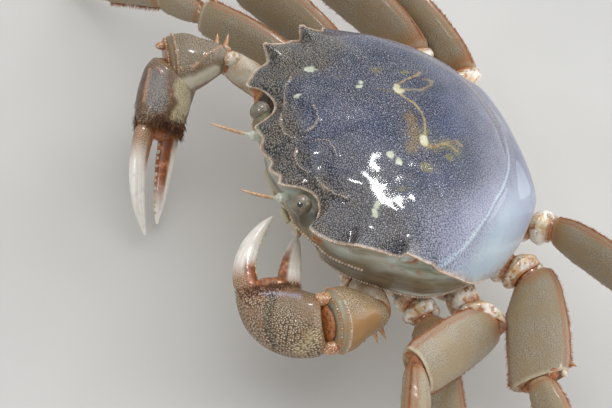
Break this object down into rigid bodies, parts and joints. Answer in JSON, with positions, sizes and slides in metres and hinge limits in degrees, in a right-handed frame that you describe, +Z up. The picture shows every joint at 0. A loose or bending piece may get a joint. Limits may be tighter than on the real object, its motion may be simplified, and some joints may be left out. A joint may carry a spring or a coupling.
{
  "type": "river_crab",
  "caption": "River crab with a domed toothed shell, stalked eyes, pincers with mats of fur and flattened jointed legs, a still life-size museum model standing on its feet.",
  "frame": {"origin": "The middle of the bounding box at floor level, where all the toes stand.", "axes": "X runs from the crab's right to its left, across the spread of its legs. Y runs from its face, at -Y, to its tail. Z is up."},
  "size_m": [0.197, 0.0962, 0.0428],
  "materials": {
    "shell": "wet, finely granulated horn",
    "underside": "smooth pale horn",
    "limb": "wet stippled horn with orange bristled rims",
    "claw": "wet horn dense with pale grains",
    "finger": "smooth ivory",
    "eye": "wet and dark",
    "feeler": "soft"
  },
  "bodies": {
    "root": {"abdomen": "underside", "antenna_left": "feeler", "antenna_right": "feeler", "carapace": "shell", "claw_left_base": "limb", "claw_left_carpus": "claw", "claw_left_merus": "limb", "claw_left_palm": "claw", "claw_left_thumb": "finger", "claw_right_base": "limb", "claw_right_carpus": "claw", "claw_right_merus": "limb", "claw_right_palm": "claw", "claw_right_thumb": "finger", "eye_left": "eye", "eye_right": "eye", "leg_left_2_base": "limb", "leg_left_2_carpus": "limb", "leg_left_2_merus": "limb", "leg_left_2_shank": "limb", "leg_left_2_toe": "limb", "leg_left_3_base": "limb", "leg_left_3_carpus": "limb", "leg_left_3_merus": "limb", "leg_left_3_shank": "limb", "leg_left_3_toe": "limb", "leg_left_4_base": "limb", "leg_left_4_carpus": "limb", "leg_left_4_merus": "limb", "leg_left_4_shank": "limb", "leg_left_4_toe": "limb", "leg_left_5_base": "limb", "leg_left_5_carpus": "limb", "leg_left_5_merus": "limb", "leg_left_5_shank": "limb", "leg_left_5_toe": "limb", "leg_right_2_base": "limb", "leg_right_2_carpus": "limb", "leg_right_2_merus": "limb", "leg_right_2_shank": "limb", "leg_right_2_toe": "limb", "leg_right_3_base": "limb", "leg_right_3_carpus": "limb", "leg_right_3_merus": "limb", "leg_right_3_shank": "limb", "leg_right_3_toe": "limb", "leg_right_4_base": "limb", "leg_right_4_carpus": "limb", "leg_right_4_merus": "limb", "leg_right_4_shank": "limb", "leg_right_4_toe": "limb", "leg_right_5_base": "limb", "leg_right_5_carpus": "limb", "leg_right_5_merus": "limb", "leg_right_5_shank": "limb", "leg_right_5_toe": "limb", "mouthpart_left": "underside", "mouthpart_right": "underside", "sternum": "underside"}
  },
  "joints": []
}
